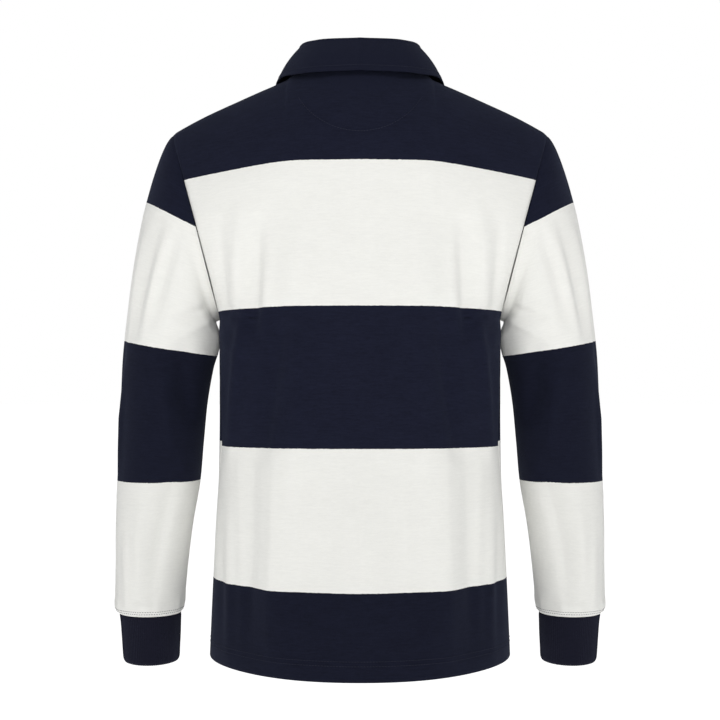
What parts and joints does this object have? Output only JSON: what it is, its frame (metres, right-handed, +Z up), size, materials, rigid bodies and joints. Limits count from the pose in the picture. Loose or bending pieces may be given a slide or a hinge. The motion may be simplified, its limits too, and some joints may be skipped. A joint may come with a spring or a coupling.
{
  "type": "long-sleeved hooped polo sweatshirt",
  "caption": "Long-sleeved hooped polo sweatshirt with a turned-down collar, buttoned placket and ribbed cuffs, filled out as worn with nobody in it.",
  "frame": {"origin": "middle of the neck, level with the high points of the shoulders, where the wearer holds the garment up", "axes": "+Z up, +Y out of the back, +X towards the wearer's left"},
  "size_m": [0.6208, 0.265, 0.7721],
  "materials": {
    "jersey_hooped": "heavy cotton jersey knitted in broad navy and cream hoops, matt",
    "jersey_navy": "navy cotton jersey, matt",
    "rib": "navy 1x1 rib knit, matt",
    "twill": "navy cotton twill, matt",
    "button": "navy sew-through button, satin"
  },
  "bodies": {
    "root": {"back": "jersey_hooped", "front": "jersey_hooped", "sleeve_left": "jersey_hooped", "sleeve_right": "jersey_hooped", "cuff_left": "rib", "cuff_right": "rib", "collar": "twill", "neck_patch": "jersey_navy", "placket_top": "twill", "placket_under": "twill", "button_1": "button", "button_2": "button", "button_3": "button"}
  },
  "joints": []
}
